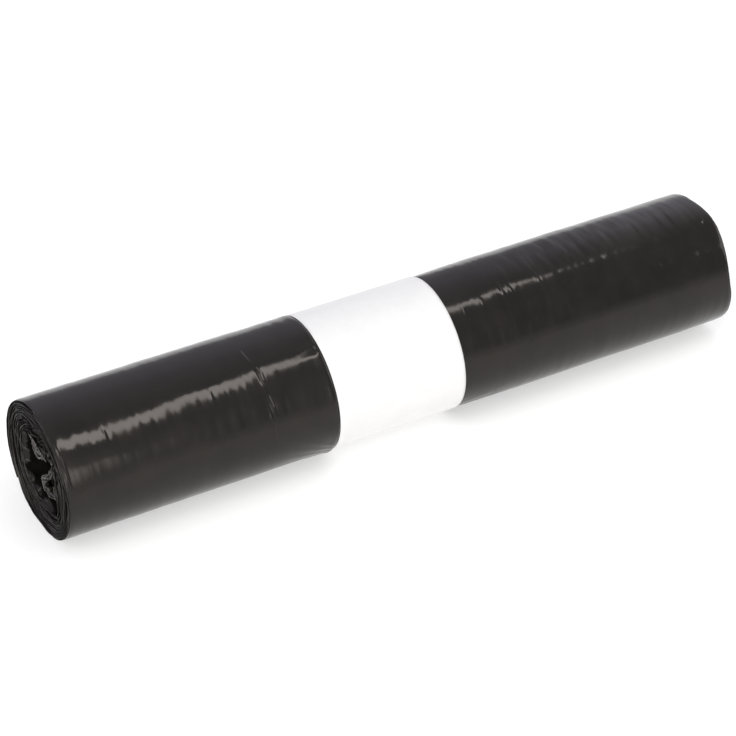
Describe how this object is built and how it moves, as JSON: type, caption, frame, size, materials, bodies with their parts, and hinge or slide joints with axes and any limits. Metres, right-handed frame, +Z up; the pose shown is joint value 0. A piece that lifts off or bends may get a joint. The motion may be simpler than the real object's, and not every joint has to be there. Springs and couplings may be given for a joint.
{
  "type": "bin bag roll",
  "caption": "Coreless roll of dark film bin bags lying on its side, with a plain white paper band round its middle and loose film in its open ends.",
  "frame": {"origin": "under the middle of the roll's box, on the surface that it lies on", "axes": "+X along the roll from its near end to its far end, +Y to its back, +Z up"},
  "size_m": [0.3556, 0.069, 0.064],
  "materials": {
    "film": "thin black polythene film, satin with soft streaks",
    "paper": "smooth uncoated white paper"
  },
  "bodies": {
    "root": {"bag_roll": "film", "paper_band": "paper"}
  },
  "joints": []
}
